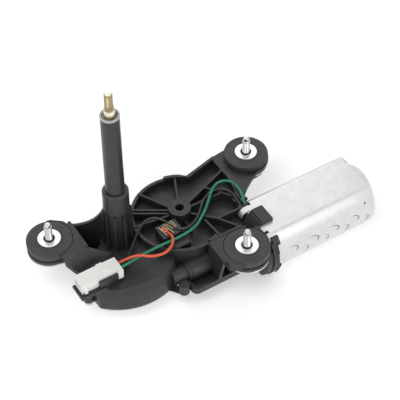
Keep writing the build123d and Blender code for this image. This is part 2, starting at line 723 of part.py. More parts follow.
def crank_pin():
    with BuildPart() as pin:
        post(crank, crank_pin_d / 2, wheel_top + gap, roof_z - 0.6)
        chamfer(pin.edges().filter_by(GeomType.CIRCLE).group_by(Axis.Z)[-1], 0.4)
    return pin


# ---------------------------------------------------------------- worm wheel
def worm_wheel():
    centre = (wheel_x, wheel_y)
    with BuildPart() as wheel:
        with BuildSketch(at(centre, wheel_bottom)) as plan:
            with BuildLine():
                Polyline(*gear_outline((0, 0), wheel_teeth, tooth_backlash, -90 + 180 / wheel_teeth), close=True)
            make_face()
        extrude(plan.sketch, amount=wheel_face)
        with BuildSketch(at(centre, wheel_bottom)) as pocket:
            Circle(28)
            Circle(11, mode=Mode.SUBTRACT)
            with PolarLocations(0, 6):
                with Locations((20, 0)):
                    Rectangle(24, 2.4, mode=Mode.SUBTRACT)
        extrude(pocket.sketch, amount=wheel_face - 3, mode=Mode.SUBTRACT)
        post(centre, wheel_bore / 2, wheel_bottom - 1, wheel_top + 1, mode=Mode.SUBTRACT)
        post(crank, crank_pin_d / 2 + 0.3, wheel_top - 2, wheel_top + 1, mode=Mode.SUBTRACT)
    return wheel


def contact_disc():
    """Sheet ring on the wheel with the gap that parks the wiper."""
    centre = (wheel_x, wheel_y)
    with BuildPart() as disc:
        with BuildSketch(at(centre, wheel_top)) as ring:
            Circle(30)
            Circle(24, mode=Mode.SUBTRACT)
            with Locations(Rot(0, 0, 205) * Pos(28.5, 0)):
                Rectangle(4, 9, mode=Mode.SUBTRACT)
        extrude(ring.sketch, amount=0.4)
    return disc


# ---------------------------------------------------------------- armature
def armature_shaft():
    with BuildPart() as shaft:
        rod(shaft_x0, shaft_x1, shaft_d / 2)
        chamfer(shaft.edges().filter_by(GeomType.CIRCLE), 0.4)
    return shaft


def worm():
    pitch = pi * module
    root_r, tip_r = 3.8, worm_pitch_r + 0.95 * module
    core_half = worm_turns * pitch / 2 + 1.5
    thread_x0 = wheel_x - (worm_turns / 2 + 0.25) * pitch
    with BuildPart() as screw:
        with BuildLine() as path:
            Helix(pitch=pitch, height=worm_turns * pitch, radius=root_r, center=(thread_x0, motor_y, motor_z),
                  direction=(1, 0, 0))
        start = Plane(origin=(thread_x0, motor_y, motor_z), x_dir=(1, 0, 0), z_dir=(0, 1, 0))
        with BuildSketch(start) as section:
            with BuildLine():
                Polyline((-1.0, -root_r + 0.3), (-0.25, -tip_r), (0.25, -tip_r), (1.0, -root_r + 0.3), close=True)
            make_face()
        sweep(section.sketch, path=path.line, is_frenet=True)
        rod(wheel_x - core_half, wheel_x + core_half, root_r)
        rod(wheel_x - core_half - 1, wheel_x + core_half + 1, shaft_d / 2 + 0.02, mode=Mode.SUBTRACT)
    return screw


def core_slots(inner_r, outer_r, width):
    """Slots of the laminated core, as one sketch on the current plane."""
    with PolarLocations(0, slots):
        with Locations(((inner_r + outer_r) / 2, 0)):
            Rectangle(outer_r - inner_r, width)


def armature_core():
    with BuildPart() as core:
        with BuildSketch(along_motor(core_x0)) as lamination:
            Circle(core_r)
            with BuildSketch(mode=Mode.PRIVATE) as cut:
                core_slots(8.5, 16.8, 4.2)
                core_slots(16, core_r + 2, 1.6)
                Circle(shaft_d / 2 + 0.02)
            add(cut.sketch, mode=Mode.SUBTRACT)
        extrude(lamination.sketch, amount=core_x1 - core_x0)
    return core


def windings():
    bulge, inner_r, outer_r = 7.0, 4.5, 16.4
    with BuildPart() as coils:
        for x0, x1 in ((core_x0 - bulge, core_x0 - 0.1), (core_x1 + 0.1, core_x1 + bulge)):
            rod(x0, x1, outer_r)
        chamfer(coils.edges().filter_by(GeomType.CIRCLE), 2.0)
        with BuildSketch(along_motor(core_x0 - 1)) as bars:
            core_slots(9.0, 16.4, 3.8)
        extrude(bars.sketch, amount=core_x1 - core_x0 + 2)
        for x0, x1 in ((core_x0 - bulge, core_x0), (core_x1, core_x1 + bulge)):
            rod(x0, x1, inner_r, mode=Mode.SUBTRACT)
    return coils


def commutator():
    with BuildPart() as drum:
        rod(commutator_x0, commutator_x1, commutator_r)
        rod(commutator_x1, commutator_x1 + 0.8, commutator_r + 1.2)
        with BuildSketch(along_motor(commutator_x0 - 1)) as cuts:
            core_slots(commutator_r - 0.7, commutator_r + 2, 0.5)
        extrude(cuts.sketch, amount=commutator_x1 - commutator_x0 + 1, mode=Mode.SUBTRACT)
        rod(commutator_x0 - 1, commutator_x1 + 2, shaft_d / 2 + 0.02, mode=Mode.SUBTRACT)
    return drum


# ---------------------------------------------------------------- motor
def motor_can():
    with BuildPart() as can:
        with BuildSketch(along_motor(can_mouth)) as outer:
            motor_section(can_r, can_flat)
        extrude(outer.sketch, amount=can_end - can_mouth)
        fillet(can.edges().group_by(Axis.X)[-1], can_corner_r)
        rod(can_end - 1, can_end + end_boss_len, end_boss_r)
        fillet(can.edges().group_by(Axis.X)[-1], 1.5)
        with BuildSketch(along_motor(can_mouth - 1)) as inner:
            motor_section(can_r - can_wall, can_flat - can_wall)
        extrude(inner.sketch, amount=can_end - can_wall - can_mouth + 1, mode=Mode.SUBTRACT)
        rod(can_end - 3, can_end + end_boss_len - can_wall, end_boss_r - can_wall, mode=Mode.SUBTRACT)
        # notch over the wire outlet and the small vent hole in the side
        notch_x0, notch_x1, notch_y0, notch_y1, notch_z0, notch_z1 = wire_notch
        slab([(notch_x0, notch_y0), (notch_x1, notch_y0), (notch_x1, notch_y1), (notch_x0, notch_y1)],
             notch_z0, notch_z1, mode=Mode.SUBTRACT)
        with BuildSketch(Plane(origin=(180.7, motor_y - 10, -13.8), x_dir=(1, 0, 0), z_dir=(0, -1, 0))) as vent:
            Circle(0.9)
        extrude(vent.sketch, amount=30, mode=Mode.SUBTRACT)
    return can


def magnets():
    inner_r, outer_r, half_angle = core_r + 1.3, can_r - can_wall - 0.2, 42
    with BuildPart() as pair:
        with BuildSketch(along_motor(core_x0 + 2)) as arcs:
            Circle(outer_r)
            Circle(inner_r, mode=Mode.SUBTRACT)
            Rectangle(2 * outer_r, 2 * outer_r * sin(radians(half_angle)), mode=Mode.INTERSECT)
        extrude(arcs.sketch, amount=core_x1 - core_x0 - 4)
    return pair


def magnet_clips():
    """Spring strips on the can's flats that press the magnets apart."""
    inner_r, reach = core_r + 1.3, 12.5
    z = can_flat - can_wall - 0.05
    with BuildPart() as clips:
        for side in (-1, 1):
            with BuildSketch(along_motor(core_x0 + 6)) as strip:
                with Locations((0, side * (z - 0.3))):
                    Rectangle(2 * reach, 0.6)
            extrude(strip.sketch, amount=core_x1 - core_x0 - 12)
    return clips


def brush_holder():
    plate_x0, plate_x1 = flange_x0 + flange_t + 0.1, flange_x0 + flange_t + 2.6
    box_y0, box_y1 = commutator_r + 1.0, 25.0
    with BuildPart() as holder:
        with BuildSketch(along_motor(plate_x0)) as plate:
            motor_section(can_r - can_wall - 0.2, can_flat - can_wall - 0.2)
            Circle(shaft_d / 2 + 1.5, mode=Mode.SUBTRACT)
            with Locations((wire_exit[1] - motor_y, wire_exit[2] - motor_z)):
                Rectangle(9, 9, mode=Mode.SUBTRACT)
        extrude(plate.sketch, amount=plate_x1 - plate_x0)
        for side in (-1, 1):
            y0, y1 = motor_y + side * box_y0, motor_y + side * box_y1
            inner = motor_y + side * (box_y1 - 1)
            slab([(plate_x1 - 0.5, y0), (brush_x1 + 1.4, y0), (brush_x1 + 1.4, y1), (plate_x1 - 0.5, y1)],
                 motor_z - 4.2, motor_z + 4.2)
            slab([(brush_x0 - 0.15, y0), (brush_x1 + 0.15, y0), (brush_x1 + 0.15, inner), (brush_x0 - 0.15, inner)],
                 motor_z - 2.65, motor_z + 2.65, mode=Mode.SUBTRACT)
        rod(plate_x1 - 0.1, brush_x1 + 3, box_y0, mode=Mode.SUBTRACT)
    return holder


def brushes():
    with BuildPart() as pair:
        for side in (-1, 1):
            y0, y1 = motor_y + side * (commutator_r - 1), motor_y + side * brush_back
            slab([(brush_x0, y0), (brush_x1, y0), (brush_x1, y1), (brush_x0, y1)], motor_z - 2.5, motor_z + 2.5)
        rod(brush_x0 - 1, brush_x1 + 1, commutator_r + fit, mode=Mode.SUBTRACT)
    return pair


def brush_springs():
    wire_r, coil_r, length = 0.3, 1.8, 25.0 - 1 - brush_back - 0.9
    middle_x = (brush_x0 + brush_x1) / 2
    with BuildPart() as springs:
        for side in (-1, 1):
            start = (middle_x, motor_y + side * (brush_back + 0.45), motor_z)
            with BuildLine() as path:
                Helix(pitch=1.25, height=length, radius=coil_r, center=start, direction=(0, side, 0))
            with BuildSketch(Plane(origin=path.line @ 0, z_dir=path.line % 0)):
                Circle(wire_r)
            sweep(path=path.line, is_frenet=True)
    return springs


def motor_bearing(x0, x1, outer_r):
    with BuildPart() as bearing:
        rod(x0, x1, outer_r)
        chamfer(bearing.edges().filter_by(GeomType.CIRCLE), 0.4)
        rod(x0 - 1, x1 + 1, shaft_d / 2 + fit, mode=Mode.SUBTRACT)
    return bearing


def rear_bearing():
    return motor_bearing(can_end - can_wall - 0.5, can_end + end_boss_len - can_wall - 0.1, end_boss_r - can_wall - 0.02)


def front_bearing():
    return motor_bearing(79.1, 87, 5.48)


def worm_end_bush():
    return motor_bearing(27, 33, 4.48)


def thrust_ball():
    with BuildPart() as ball:
        with Locations((tunnel_x0 + 2.5 + 2.0, motor_y, motor_z)):
            Sphere(1.98)
    return ball


# ---------------------------------------------------------------- mounts
def grommet(point):
    edge = 1.2
    profile = [
        (sleeve_r + 0.02, grommet_bottom), (grommet_r - edge, grommet_bottom), (grommet_r, grommet_bottom + edge),
        (grommet_r, groove_bottom), (groove_r, groove_bottom), (groove_r, groove_top), (grommet_r, groove_top),
        (grommet_r, grommet_top - edge), (grommet_r - edge, grommet_top), (sleeve_r + 0.02, grommet_top),
    ]
    return placed(profile, point)


def placed(profile, point):
    """A turned solid standing at a point of the plan."""
    with BuildPart() as solid:
        with BuildSketch(Plane(origin=(point[0], point[1], 0), x_dir=(1, 0, 0), z_dir=(0, -1, 0))) as half:
            with BuildLine():
                Polyline(*profile, close=True)
            make_face()
        revolve(half.sketch, axis=Axis((point[0], point[1], 0), (0, 0, 1)))
    return solid


def sleeve(point):
    bore = sleeve_bore / 2
    return placed([
        (bore, grommet_bottom), (sleeve_r, grommet_bottom), (sleeve_r, grommet_top), (sleeve_flange_r, grommet_top),
        (sleeve_flange_r, -0.3), (sleeve_flange_r - 0.3, 0), (bore + 0.3, 0), (bore, -0.3),
    ], point)


def stud(point):
    thread_r, tip_r, shank_r = stud_d / 2, stud_tip_d / 2, stud_d / 2 - 0.25
    shoulder = stud_top - stud_tip_len
    plate_top = grommet_bottom
    return placed([
        (0, plate_top - stud_plate_t), (stud_plate_r, plate_top - stud_plate_t), (stud_plate_r, plate_top),
        (shank_r, plate_top), (shank_r, 0), (thread_r, 0), (thread_r, shoulder), (tip_r, shoulder),
        (tip_r, stud_top - 0.8), (tip_r - 0.8, stud_top), (0, stud_top),
    ], point)


# ---------------------------------------------------------------- terminal block and plug
blade_ends = [((26.7, -13.5), (28.8, -23.5)), ((31.9, -12.7), (34.2, -23.9)), ((38.3, -12.2), (39.4, -19.5))]
finger_starts = [(34.2, -22.6), (39.7, -18.8)]
crimp_ends = [((29.0, -13.4), (31.0, -19.6)), ((35.3, -12.6), (37.3, -19.4))]
blade_t, blade_top, blade_foot = 0.8, -2.0, -9.5


def blades(clearance):
    """The upright contact blades; the two that reach the park ring carry sprung fingers."""
    with BuildPart() as strips:
        for start, end in blade_ends:
            rib(start, end, blade_foot, blade_top + clearance, blade_t + 2 * clearance)
        for x, y in finger_starts:
            with BuildSketch(Plane(origin=(x, 0, 0), x_dir=(0, 1, 0), z_dir=(1, 0, 0))) as finger:
                with BuildLine():
                    Polyline((y, blade_foot + 2.5), (-31, blade_foot + 1), (-31, -19.4), (-28.6, -21.5),
                             (-27.2, -21.5), (-29.4, -18.8), (-29.4, blade_foot - 0.9), (y, blade_foot), close=True)
                make_face()
            extrude(finger.sketch, amount=blade_t / 2 + clearance, both=True)
    return strips


def contact_strips():
    return blades(0)


def terminal_block():
    step_y, low_top = -25.0, -6.5
    with BuildPart() as block:
        for y0, top in ((block_y0, low_top), (step_y, block_top)):
            with BuildSketch(Plane.XY.offset(floor_z)) as plan:
                with BuildLine():
                    Polyline((block_x0, y0), (block_x1, y0), (block_x1, block_y1), (block_x0, block_y1), close=True)
                make_face()
                with Locations((wheel_x, wheel_y)):
                    Circle(dish_r - wall - 0.3, mode=Mode.INTERSECT)
            extrude(plan.sketch, amount=top - floor_z)
        slab([(33.1, -33), (33.1, -25), (41.2, -25), (41.2, -33)], floor_z - 1, blade_foot + 2, mode=Mode.SUBTRACT)
        add(blades(0.1).part, mode=Mode.SUBTRACT)
        # pockets of the crimped terminals and the channels of their wires
        with BuildPart(mode=Mode.PRIVATE) as pockets:
            for start, end in crimp_ends:
                rib(start, end, block_top - 2.45, block_top + 1, 2.9)
            rib((29.0, -13.4), (31.5, -21.2), block_top - 1.8, block_top + 1, 2.8)
            rib((31.2, -20.2), (31.7, -26), block_top - 1.8, block_top + 1, 2.8)
            rib((34.7, -10.5), (37.4, -19.6), block_top - 1.8, block_top + 1, 2.8)
            rib((36.8, -18.9), (43.2, -26.1), block_top - 1.8, block_top + 1, 2.8)
        add(pockets.part, mode=Mode.SUBTRACT)
    return block


def crimp_terminals():
    """Brass receptacles between the blades, each holding the ends of two wires."""
    with BuildPart() as pair:
        for start, end in crimp_ends:
            rib(start, end, block_top - 2.4, block_top + 0.5, 2.8)
        with BuildPart(mode=Mode.PRIVATE) as channels:
            for start, end in crimp_ends:
                rib(start, end, block_top - 1.6, block_top + 1, 2.3)
        add(channels.part, mode=Mode.SUBTRACT)
    return pair


def box(x0, x1, y0, y1, z0, z1, mode=Mode.ADD):
    slab([(x0, y0), (x1, y0), (x1, y1), (x0, y1)], z0, z1, mode=mode)


def plug_housing():
    shell, mouth_depth = 1.2, 14.0
    z0 = plug_top - plug_h
    end_x = plug_x1 - 4.6
    with BuildPart() as body:
        box(plug_x0, end_x + 1, plug_y0, plug_y1, z0, plug_top)
        box(end_x, plug_x1, plug_y0 - 1.8, plug_y1, z0, plug_top)
        box(-30.5, -25.5, plug_y1 - 0.5, plug_y1 + 1.1, z0 + 2, plug_top - 0.3)
        box(-47.2, -44.8, plug_y0 - 1.6, plug_y0 + 0.5, z0 + 0.5, plug_top - 2.5)
        post((-24.2, -28.3), 1.9, plug_top - 0.5, plug_top + 0.7)
        post((-26.6, -27.2), 0.9, plug_top - 0.5, plug_top + 0.5)
        box(plug_x0 - 1, plug_x0 + mouth_depth, plug_y0 + shell, plug_y1 - shell, z0 + shell, plug_top - shell,
            mode=Mode.SUBTRACT)
        for y, z in plug_ways:
            with BuildSketch(Plane(origin=(plug_x0 + mouth_depth - 1, y, z), x_dir=(0, 1, 0), z_dir=(1, 0, 0))) as way:
                Circle(wire_d / 2 + 0.15)
            extrude(way.sketch, amount=40, mode=Mode.SUBTRACT)
    return body


def plug_terminals():
    with BuildPart() as pins:
        for y, z in plug_ways:
            box(plug_x0 + 4, plug_x0 + 26.0, y - 0.6, y + 0.6, z - 0.6, z + 0.6)
    return pins


# ---------------------------------------------------------------- wires
def wire(points, name):
    """A round wire: straight runs joined by tangent arcs through the route's corners."""
    vectors = [Vector(*point) for point in points]
    radii = []
    for before, corner, after in zip(vectors, vectors[1:], vectors[2:]):
        into, out = corner - before, after - corner
        turn = radians(into.get_angle(out))
        radii.append(round(0.45 * min(into.length, out.length) / tan(turn / 2), 2))
    with BuildPart() as cable:
        with BuildLine():
            centre_line = FilletPolyline(*points, radius=radii)
        with BuildSketch(Plane(origin=centre_line @ 0, z_dir=centre_line % 0)):
            Circle(wire_d / 2)
        sweep(path=centre_line)
    length = centre_line.length
    print(name, "length", round(length, 1), "bend radii", radii)
    save(cable, name)


green_route = [
    (-21.5, -29.8, -4.5), (-10.5, -29.8, -4.5), (4.0, -27.8, -4.6), (20.5, -27.5, -4.5), (36.0, -28.2, -4.4),
    (51.9, -27.0, -3.5), (67.1, -16.4, -3.3), (82.1, -2.0, -1.5), (90.5, 1.7, -1.4), (98.4, -1.9, -1.6),
    (100.7, -10.4, -2.6), (99.8, -17.3, -4.4), (97.9, -22.8, -7.2), (99.8, -26.8, -10.2),
]
black_motor_route = [
    (36.45, -16.4, -3.4), (37.4, -19.6, -3.3), (41.5, -24.2, -2.4), (48.5, -24.3, -3.3), (57.6, -20.0, -3.6),
    (71.7, -6.1, -3.9), (82.0, -1.6, -3.9), (90.2, -3.8, -3.9), (94.4, -11.5, -4.0), (94.4, -18.5, -5.9),
    (94.9, -23.6, -8.3), (97.4, -27.6, -12.4),
]
black_plug_route = [
    (36.15, -15.4, -3.4), (34.7, -9.6, -2.9), (30.6, -3.4, -2.6), (23.3, -1.2, -3.0), (13.0, -6.5, -4.3),
    (2.5, -15.6, -6.4), (-10.5, -27.6, -7.9), (-21.5, -27.6, -7.9),
]
red_route = [
    (29.4, -14.6, -3.4), (31.2, -20.2, -3.2), (31.6, -27.0, -1.5), (27.4, -34.0, -1.2), (19.1, -38.2, -1.2),
    (8.5, -36.0, -1.2), (0.2, -28.0, -1.6), (-10.5, -25.2, -4.5), (-21.5, -25.2, -4.5),
]


# ---------------------------------------------------------------- all the parts
single_parts = [
    gear_housing, bottom_cover, cover_screws, wheel_axle, guide_tube, tube_collar, tube_seal, output_bush_lower,
    output_bush_upper, output_spindle, pinion, spindle_clip, spindle_washer, swing_plate, pivot_pin, sector_rod,
    crank_pin, worm_wheel, contact_disc, armature_shaft, worm, armature_core, windings, commutator, motor_can,
    magnets, magnet_clips, brush_holder, brushes, brush_springs, rear_bearing, front_bearing, worm_end_bush,
    thrust_ball, contact_strips, terminal_block, crimp_terminals, plug_housing, plug_terminals,
]
for build in single_parts:
    save(build(), build.__name__)
for side, point in (("left", left_mount), ("rear", rear_mount), ("front", front_mount)):
    save(grommet(point), f"grommet_{side}")
    save(sleeve(point), f"sleeve_{side}")
    save(stud(point), f"stud_{side}")
wire(green_route, "wire_green")
wire(black_motor_route, "wire_black_motor")
wire(black_plug_route, "wire_black_plug")
wire(red_route, "wire_red")
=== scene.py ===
import json
import math

import bmesh
import bpy
from mathutils import Matrix, Vector


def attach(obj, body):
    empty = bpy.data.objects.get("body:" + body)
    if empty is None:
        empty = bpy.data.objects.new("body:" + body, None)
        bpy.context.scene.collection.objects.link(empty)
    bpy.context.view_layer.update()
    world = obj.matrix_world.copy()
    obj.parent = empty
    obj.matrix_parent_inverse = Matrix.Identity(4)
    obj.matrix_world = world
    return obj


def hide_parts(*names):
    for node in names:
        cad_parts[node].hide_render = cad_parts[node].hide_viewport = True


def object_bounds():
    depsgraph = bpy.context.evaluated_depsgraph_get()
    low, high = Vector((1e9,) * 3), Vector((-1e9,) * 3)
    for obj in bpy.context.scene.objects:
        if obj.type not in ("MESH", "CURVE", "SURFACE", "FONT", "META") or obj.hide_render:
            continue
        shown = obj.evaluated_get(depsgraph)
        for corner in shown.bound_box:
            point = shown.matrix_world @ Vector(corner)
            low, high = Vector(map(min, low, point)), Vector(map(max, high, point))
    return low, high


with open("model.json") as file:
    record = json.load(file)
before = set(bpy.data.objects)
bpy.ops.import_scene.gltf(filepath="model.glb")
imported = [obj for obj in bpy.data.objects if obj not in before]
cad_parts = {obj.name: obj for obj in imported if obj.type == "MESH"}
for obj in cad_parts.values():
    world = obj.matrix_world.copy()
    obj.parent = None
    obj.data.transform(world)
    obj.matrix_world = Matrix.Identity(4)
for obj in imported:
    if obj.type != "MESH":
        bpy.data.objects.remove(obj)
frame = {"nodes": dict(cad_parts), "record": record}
cad_box = [list(v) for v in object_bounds()]
nodes = frame["nodes"]
slot_of = {s["node"]: s["material_slot"] for s in frame["record"]["subparts"]}
scene = bpy.context.scene
mm = 0.001
full_turn = 2 * math.pi


# ---------------------------------------------------------------- camera, at the photograph's angle
camera_pitch, camera_azimuth = 48.5, -32.0        # degrees
camera_target = Vector((0.0673, -0.0081, 0.0))
camera_distance = 0.956
lens, sensor = 112.5, 36.0                        # mm


def add_camera():
    pitch, azimuth = math.radians(camera_pitch), math.radians(camera_azimuth)
    right = Vector((math.cos(azimuth), math.sin(azimuth), 0))
    level = Vector((-math.sin(azimuth), math.cos(azimuth), 0))
    forward = math.cos(pitch) * level + Vector((0, 0, -math.sin(pitch)))
    upward = right.cross(forward)
    data = bpy.data.cameras.new("camera")
    data.lens, data.sensor_width = lens, sensor
    data.clip_start, data.clip_end = 0.05, 20
    camera = bpy.data.objects.new("camera", data)
    scene.collection.objects.link(camera)
    place = Matrix.Translation(camera_target - camera_distance * forward)
    turn = Matrix((right, upward, -forward)).transposed()
    camera.matrix_world = place @ turn.to_4x4()
    scene.camera = camera


# ---------------------------------------------------------------- materials, in metres
class Nodes:
    """Short names for building a material's node tree."""

    def __init__(self, name):
        self.material = bpy.data.materials.new(name)
        self.material.use_nodes = True
        self.tree = self.material.node_tree
        self.shader = self.tree.nodes["Principled BSDF"]
        self.place = self.tree.nodes.new("ShaderNodeTexCoord").outputs["Object"]

    def link(self, source, target):
        self.tree.links.new(source, target)

    def colour(self, source):
        self.link(source, self.shader.inputs["Base Color"])

    def roughness(self, source, low, high):
        """Roughness between two values, from the middle of a pattern's range."""
        self.link(self.ramp(source, (0.3, low), (0.7, high)), self.shader.inputs["Roughness"])

    def set(self, **values):
        for name, value in values.items():
            self.shader.inputs[name.replace("_", " ")].default_value = value

    def stretched(self, scale):
        mapping = self.tree.nodes.new("ShaderNodeMapping")
        mapping.inputs["Scale"].default_value = scale
        self.link(self.place, mapping.inputs["Vector"])
        return mapping.outputs["Vector"]

    def noise(self, scale, detail, where=None):
        node = self.tree.nodes.new("ShaderNodeTexNoise")
        node.inputs["Scale"].default_value = scale
        node.inputs["Detail"].default_value = detail
        node.inputs["Roughness"].default_value = 0.55
        self.link(where or self.place, node.inputs["Vector"])
        return node.outputs["Fac"]

    def cells(self, scale, output="Color"):
        node = self.tree.nodes.new("ShaderNodeTexVoronoi")
        node.inputs["Scale"].default_value = scale
        self.link(self.place, node.inputs["Vector"])
        return node.outputs[output]

    def ramp(self, source, *stops):
        """Grey values at positions of a pattern's range."""
        node = self.tree.nodes.new("ShaderNodeValToRGB")
        for element, (position, value) in zip(node.color_ramp.elements, stops):
            element.position = position
            element.color = (value, value, value, 1)
        self.link(source, node.inputs["Fac"])
        return node.outputs["Color"]

    def mix(self, factor, a, b):
        """Blend of two colours or colour sockets by a socket."""
        node = self.tree.nodes.new("ShaderNodeMix")
        node.data_type = "RGBA"
        self.link(factor, node.inputs["Factor"])
        for socket, value in ((node.inputs[6], a), (node.inputs[7], b)):
            if isinstance(value, tuple):
                socket.default_value = (*value, 1)
            else:
                self.link(value, socket)
        return node.outputs[2]

    def math(self, operation, *values):
        node = self.tree.nodes.new("ShaderNodeMath")
        node.operation = operation
        for socket, value in zip(node.inputs, values):
            if isinstance(value, float):
                socket.default_value = value
            else:
                self.link(value, socket)
        return node.outputs[0]

    def bump(self, height, strength, distance, before=None):
        node = self.tree.nodes.new("ShaderNodeBump")
        node.inputs["Strength"].default_value = strength
        node.inputs["Distance"].default_value = distance
        self.link(height, node.inputs["Height"])
        if before:
            self.link(before, node.inputs["Normal"])
        self.link(node.outputs["Normal"], self.shader.inputs["Normal"])
        return node.outputs["Normal"]


def plastic(name, dark, light, rough=(0.38, 0.52), coat=0.0):
    """Moulded plastic: a fine grain over slight waves."""
    m = Nodes(name)
    m.colour(m.mix(m.noise(55, 5), dark, light))
    m.roughness(m.noise(130, 4), *rough)
    fine = m.bump(m.noise(1400, 2), 0.5, 0.00004)
    m.bump(m.noise(90, 2), 0.25, 0.0002, fine)
    m.set(Coat_Weight=coat)
    return m.material


def metal(name, dark, light, rough=(0.22, 0.36), streak=(1, 1, 1)):
    """Bare or plated metal; streak stretches its pattern along the way it was worked."""
    m = Nodes(name)
    along = m.stretched(streak)
    m.colour(m.mix(m.noise(160, 4, along), dark, light))
    m.roughness(m.noise(260, 3, along), *rough)
    m.bump(m.noise(900, 3, along), 0.4, 0.00002)
    m.set(Metallic=1.0)
    return m.material


def spangled_zinc(name):
    """Galvanised sheet: faint crystal flakes and cloudy patches."""
    m = Nodes(name)
    flakes = m.ramp(m.cells(210), (0.1, 0.0), (0.9, 1.0))
    tone = m.mix(flakes, (0.655, 0.65, 0.645), (0.71, 0.705, 0.70))
    clouds = m.ramp(m.noise(28, 4), (0.35, 0.0), (0.75, 0.35))
    m.colour(m.mix(clouds, tone, (0.69, 0.69, 0.69)))
    m.link(m.ramp(m.cells(330), (0.1, 0.30), (0.9, 0.42)), m.shader.inputs["Roughness"])
    fine = m.bump(m.cells(420, "Distance"), 0.05, 0.00004)
    m.bump(m.noise(60, 3), 0.18, 0.0003, fine)
    m.set(Metallic=0.7)
    return m.material


def rubber(name):
    m = Nodes(name)
    m.colour(m.mix(m.noise(70, 5), (0.030, 0.030, 0.032), (0.052, 0.052, 0.054)))
    m.roughness(m.noise(180, 4), 0.50, 0.66)
    m.bump(m.noise(1500, 3), 0.5, 0.00005)
    return m.material


def spindle_zinc(name):
    """Yellow zinc, paler on the smooth neck and at the tip than on the splines and the thread."""
    neck_end, tip_start = 0.1249, 0.1396          # heights
    m = Nodes(name)
    parts = m.tree.nodes.new("ShaderNodeSeparateXYZ")
    m.link(m.place, parts.inputs[0])
    height = parts.outputs["Z"]
    neck = m.math("LESS_THAN", height, neck_end)
    tip = m.math("GREATER_THAN", height, tip_start)
    worked = m.mix(m.noise(300, 4), (0.27, 0.21, 0.115), (0.46, 0.37, 0.22))
    smooth = m.mix(m.noise(200, 4), (0.74, 0.68, 0.55), (0.86, 0.81, 0.69))
    m.colour(m.mix(m.math("MAXIMUM", neck, tip), worked, smooth))
    m.roughness(m.noise(400, 3), 0.22, 0.36)
    m.bump(m.noise(900, 3), 0.3, 0.00002)
    m.set(Metallic=1.0)
    return m.material


def wire_jacket(name, dark, light):
    m = Nodes(name)
    m.colour(m.mix(m.noise(120, 4), dark, light))
    m.roughness(m.noise(300, 3), 0.30, 0.44)
    m.bump(m.noise(500, 2), 0.3, 0.00004)
    m.set(Subsurface_Weight=0.08, Subsurface_Scale=0.001)
    return m.material


# each finish: how it is made, then its dark and light tone and what differs from the usual
finishes = {
    "housing_plastic": (plastic, (0.012, 0.012, 0.013), (0.021, 0.021, 0.022)),
    "tube_plastic": (plastic, (0.016, 0.016, 0.018), (0.024, 0.024, 0.026), (0.32, 0.42)),
    "collar_plastic": (plastic, (0.020, 0.021, 0.023), (0.030, 0.031, 0.034), (0.34, 0.46)),
    "seal_plastic": (plastic, (0.42, 0.43, 0.43), (0.52, 0.53, 0.53), (0.4, 0.5)),
    "zinc_steel": (metal, (0.52, 0.53, 0.55), (0.66, 0.67, 0.69)),
    "screw_steel": (metal, (0.55, 0.56, 0.58), (0.68, 0.69, 0.70)),
    "ground_steel": (metal, (0.50, 0.51, 0.53), (0.62, 0.63, 0.65), (0.22, 0.36), (0.2, 6, 6)),
    "gear_steel": (metal, (0.30, 0.31, 0.33), (0.42, 0.43, 0.45), (0.35, 0.5)),
    "bronze": (metal, (0.50, 0.33, 0.16), (0.62, 0.44, 0.24), (0.4, 0.55)),
    "can_zinc": (spangled_zinc,),
    "ferrite": (plastic, (0.05, 0.05, 0.055), (0.08, 0.08, 0.085), (0.5, 0.7)),
    "spring_steel": (metal, (0.45, 0.46, 0.48), (0.58, 0.59, 0.61)),
    "brown_plastic": (plastic, (0.10, 0.045, 0.02), (0.15, 0.07, 0.035)),
    "carbon": (plastic, (0.02, 0.02, 0.02), (0.035, 0.035, 0.035), (0.5, 0.65)),
    "tinned_strip": (metal, (0.20, 0.185, 0.16), (0.36, 0.33, 0.29), (0.35, 0.5)),
    "brass_terminal": (metal, (0.70, 0.47, 0.17), (0.88, 0.66, 0.30)),
    "white_plastic": (plastic, (0.93, 0.915, 0.88), (0.97, 0.96, 0.93), (0.36, 0.48), 0.1),
    "white_plastic_gear": (plastic, (0.74, 0.71, 0.63), (0.82, 0.79, 0.71)),
    "green_wire": (wire_jacket, (0.008, 0.20, 0.10), (0.014, 0.27, 0.14)),
    "black_wire": (wire_jacket, (0.010, 0.010, 0.011), (0.018, 0.018, 0.020)),
    "red_wire": (wire_jacket, (0.74, 0.085, 0.035), (0.84, 0.12, 0.05)),
    "lamination_steel": (metal, (0.20, 0.20, 0.21), (0.32, 0.32, 0.34), (0.22, 0.36), (40, 1, 1)),
    "enamelled_copper": (metal, (0.45, 0.14, 0.05), (0.60, 0.22, 0.09), (0.22, 0.36),
                         (6, 0.5, 0.5)),
    "commutator_copper": (metal, (0.60, 0.30, 0.18), (0.75, 0.42, 0.27), (0.22, 0.36),
                          (0.3, 5, 5)),
    "yellow_zinc": (spindle_zinc,),
    "grommet_rubber": (rubber,),
    "sleeve_zinc": (metal, (0.82, 0.825, 0.83), (0.92, 0.925, 0.93), (0.3, 0.45)),
    "stud_zinc": (metal, (0.48, 0.485, 0.49), (0.64, 0.645, 0.65), (0.14, 0.24)),
    # painted shade: a dark zinc tone for the crescents' lips, standing for the shade in each
    # pressed cut
    "zinc_edge": (metal, (0.16, 0.16, 0.16), (0.26, 0.26, 0.26), (0.4, 0.55)),
    # painted shade: a dark olive tone for the ring in the seal's groove, standing for the groove's
    # shade over the bush and the tube's top
    "dust_felt": (plastic, (0.15, 0.145, 0.10), (0.26, 0.25, 0.18), (0.7, 0.85)),
}
materials = {name: make(name, *values) for name, (make, *values) in finishes.items()}


def give_material(obj, name):
    obj.data.materials.clear()
    obj.data.materials.append(materials[name])


def assign_materials():
    for name, node in nodes.items():
        give_material(node, slot_of[name])


